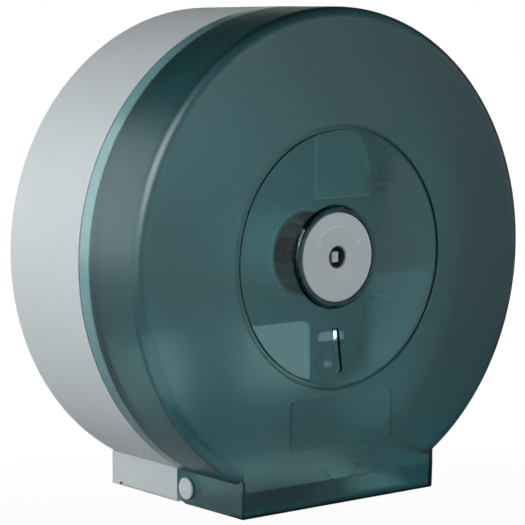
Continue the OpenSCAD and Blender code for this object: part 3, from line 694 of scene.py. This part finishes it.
def hinge_pin(side, name, node):
    """Domed head with a soft rim, shank through both ears, split snap end. It lies across the neck."""
    head = [(5.6, 0.0), (5.95, 0.2)] + bend(5.25, 0.62, 0.7, 5, 65, 5)
    head += [(r, 1.4 - 0.012 * r * r) for r in (4.6, 3.6, 2.4, 1.2)] + [(0.0, 1.4)]
    shank = [(0.0, -7.4), (3.5, -7.4), (3.9, -7.2), (5.0, -5.2), (4.5, -5.0), (4.5, 0.0)]
    under_head = NECK_HALF + 0.2
    points = [(side * (under_head + out), PIVOT_Y, PIVOT_Z + r) for r, out in shank + head]
    pin = spun(name, points, 64, (0, PIVOT_Y, PIVOT_Z), (1, 0, 0))
    cut(pin, block("split", (side * (under_head - 2.4), PIVOT_Y - 0.6, PIVOT_Z - 6),
                   (side * (under_head - 9), PIVOT_Y + 0.6, PIVOT_Z + 6)))
    dressed(pin, name, shell_plastic)
    return instead(pin, node, "casing")


# ---------------------------------------------------------------- front cover

def dish(r):
    """Depth of the dished window at a radius."""
    ball = (DISH_R ** 2 - COLLAR_R ** 2) / (2 * (WINDOW_DEPTH - DISH_DEPTH))
    return DISH_DEPTH + (r * r - COLLAR_R ** 2) / (2 * ball)


def drum_cover():
    """The cover's drum: side, rounded edge, ring groove, dished window, collar and lock cup."""
    steps, groove = 14, CASE_DEPTH - 1.9
    radii = [COLLAR_R + (DISH_R - COLLAR_R) * i / steps for i in range(steps + 1)]
    outer = [(DRUM_R - 0.25, SEAM), (DRUM_R, SEAM + 0.25), (DRUM_R, LAP_END - 0.2),
             (DRUM_R - 0.28, LAP_END - 0.02), (DRUM_R, LAP_END + 0.22)]
    outer += bend(DRUM_R - FILLET_R, CASE_DEPTH - FILLET_R, FILLET_R, 0, 90, 16)
    outer += [(RING_R + 0.7, CASE_DEPTH), (RING_R + 0.45, CASE_DEPTH - 0.25), (RING_R + 0.2, groove),
              (RING_R - 0.3, groove), (DISH_R, WINDOW_DEPTH - 0.25), (DISH_R - 0.3, dish(DISH_R - 0.3))]
    outer += [(r, dish(r)) for r in reversed(radii[1:-1])]
    outer += [(COLLAR_R + 0.25, dish(COLLAR_R) + 0.02)]
    outer += bend(COLLAR_R - 1.6, COLLAR_TOP - 1.6, 1.6, 0, 90, 7)
    outer += [(CUP_R + 0.4, COLLAR_TOP), (CUP_R, COLLAR_TOP - 0.4), (CUP_R, CUP_FLOOR),
              (BARREL_HOLE_R, CUP_FLOOR)]
    cup_out = CUP_R + COVER_T
    inner = [(BARREL_HOLE_R, CUP_BACK), (cup_out - 0.4, CUP_BACK), (cup_out, CUP_BACK + 0.4),
             (cup_out, dish(COLLAR_R) - COVER_T)]
    inner += [(r, dish(r) - COVER_T) for r in radii]
    inner += [(RING_R + 1.5, WINDOW_DEPTH - COVER_T), (RING_R + 2.2, CASE_DEPTH - COVER_T)]
    inner += bend(DRUM_R - FILLET_R, CASE_DEPTH - FILLET_R, FILLET_R - COVER_T, 90, 0, 12)
    inner += [(DRUM_R - COVER_T, LAP_END + 0.1), (DRUM_R - LAP_T, LAP_END - 0.1), (DRUM_R - LAP_T, SEAM)]
    return turned("front_cover_skin", outer + inner, 240)


def neck_corner(a, b):
    """Whether an edge is one of the neck's upright front corners or runs round its foot."""
    upright = abs(abs(a.x) - NECK_HALF) < 0.1 and abs(a.x - b.x) < 0.1 and max(a.y, b.y) < -CASE_DEPTH + 0.6
    at_foot = max(a.z, b.z) < FOOT + 0.05
    crosswise, lengthwise = abs(a.x - b.x) > 1 and a.y < -100, abs(a.x - b.x) < 0.1
    return upright or at_foot and (crosswise or lengthwise)


def neck_of_cover():
    """The cover's neck: front wall with its bent band, two eared side walls, paper lip and rib."""
    front, inside, ear_r = -CASE_DEPTH, -CASE_DEPTH + COVER_T, 8.8
    band_top, side_top = -118.9, -113.0
    profile = [(PIVOT_Y, FOOT), (front + 0.5, FOOT), (front, band_top), (front, THROAT), (inside, THROAT),
               (inside, side_top), (PIVOT_Y + ear_r, side_top - 0.4)]
    profile += bend(PIVOT_Y, PIVOT_Z, ear_r, 0, -90, 12)[:-1]
    neck = slab("neck", [(-NECK_HALF, y, z) for y, z in profile], (2 * NECK_HALF, 0, 0))
    round_edges(neck, 0.9, neck_corner, 4)
    room_in, back = NECK_HALF - COVER_T, -40
    cut(neck, block("hollow", (-room_in, inside, FOOT + LIP_T), (room_in, back, -90)))
    cut(neck, block("outlet", (-room_in, front + 13.6, FOOT - 5), (room_in, back, FOOT + COVER_T + 1)))
    rib = block("rib", (-room_in - 0.4, front + 1.5, FOOT + 1), (room_in + 0.4, front + 2.9, FOOT + 13.6))
    round_edges(rib, 0.5, lambda a, b: min(a.z, b.z) > FOOT + 13 and abs(a.x - b.x) > 1)
    return joined(neck, rib)


def rounded_plate(name, w, h, corner, z, front, back):
    """A slab with rounded corners, facing the front, between two depths."""
    points = []
    for sx, sz, a in ((1, 1, 0), (-1, 1, 90), (-1, -1, 180), (1, -1, 270)):
        points += bend(sx * (w / 2 - corner), z + sz * (h / 2 - corner), corner, a, a + 90, 10)
    return slab(name, [(px, -front, pz) for px, pz in points], (0, front - back, 0))


def lip_band():
    """A band round the shell's lip, close under the thin lap of the cover, painted paler: painted light that
    stands for the light reaching the lip through the lap.
    """
    inner, outer, start, end = 129.35, DRUM_R - LAP_T - 0.15, SEAM + 0.15, SEAM + LAP_LENGTH
    profile = [(inner, start), (outer, start), (outer, end - 0.3), (outer - 0.3, end), (inner, end)]
    band = turned("lip_band", profile, 240)
    cut(band, block("neck_gap", (-NECK_HALF - 3, -100, -140), (NECK_HALF + 3, -40, -100)))
    dressed(band, "lip_band", lip_painted_light)
    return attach(band, "casing")


def label_groove():
    """The outline of the label field, as a thin ring."""
    groove, corner = 0.6, 2.7
    ring = rounded_plate("label_edge", LABEL_W + 2 * groove, LABEL_H + 2 * groove, corner + groove, LABEL_Z,
                         130, CASE_DEPTH - 0.5)
    return cut(ring, rounded_plate("label_field", LABEL_W, LABEL_H, corner, LABEL_Z, 140, 110))


def arrow_groove():
    """The outline of the arrow mark that points down at the outlet."""
    top = FOOT + 21.2
    mark = slab("arrow_mark", [(-13.3, -130, top), (13.3, -130, top), (0, -130, top - 15.2)],
                (0, 130 - CASE_DEPTH + 0.5, 0))
    return cut(mark, slab("arrow_field", [(-12.0, -140, top - 0.55), (12.5, -140, top - 0.55),
                                          (0.15, -140, top - 14.6)], (0, 30, 0)))


def front_cover():
    """Drum and neck in one, with the throat between them, the sight slot and the two outlined fields."""
    cover = drum_cover()
    inside = NECK_HALF - 1.1
    cut(cover, block("throat", (-inside, -130, -150), (inside, -SEAM + 5, THROAT - 1)))
    joined(cover, neck_of_cover())
    sight_slot = rounded_plate("slot", SLOT_W, SLOT_H, SLOT_W / 2 - 0.01, SLOT_Z, 130, 100)
    cut(cover, sight_slot, label_groove(), arrow_groove())
    for s in (-1, 1):
        cut(cover, rod("pin_hole", 4.55, (s * 60, PIVOT_Y, PIVOT_Z), (s * 70, PIVOT_Y, PIVOT_Z)))
    lock_screw_holes(cover, 1.5, CUP_BACK - 1, CUP_FLOOR + 1)
    dressed(cover, "smoked_cover", smoke_plastic)
    return instead(cover, "front_cover", "cover")


room()
finish_nodes()
front_cover()
lip_band()
lock_plate()
lock_barrel()
lock_core()
hinge_pin(-1, "hinge_button_left", "hinge_pin_left")
hinge_pin(1, "hinge_button_right", "hinge_pin_right")
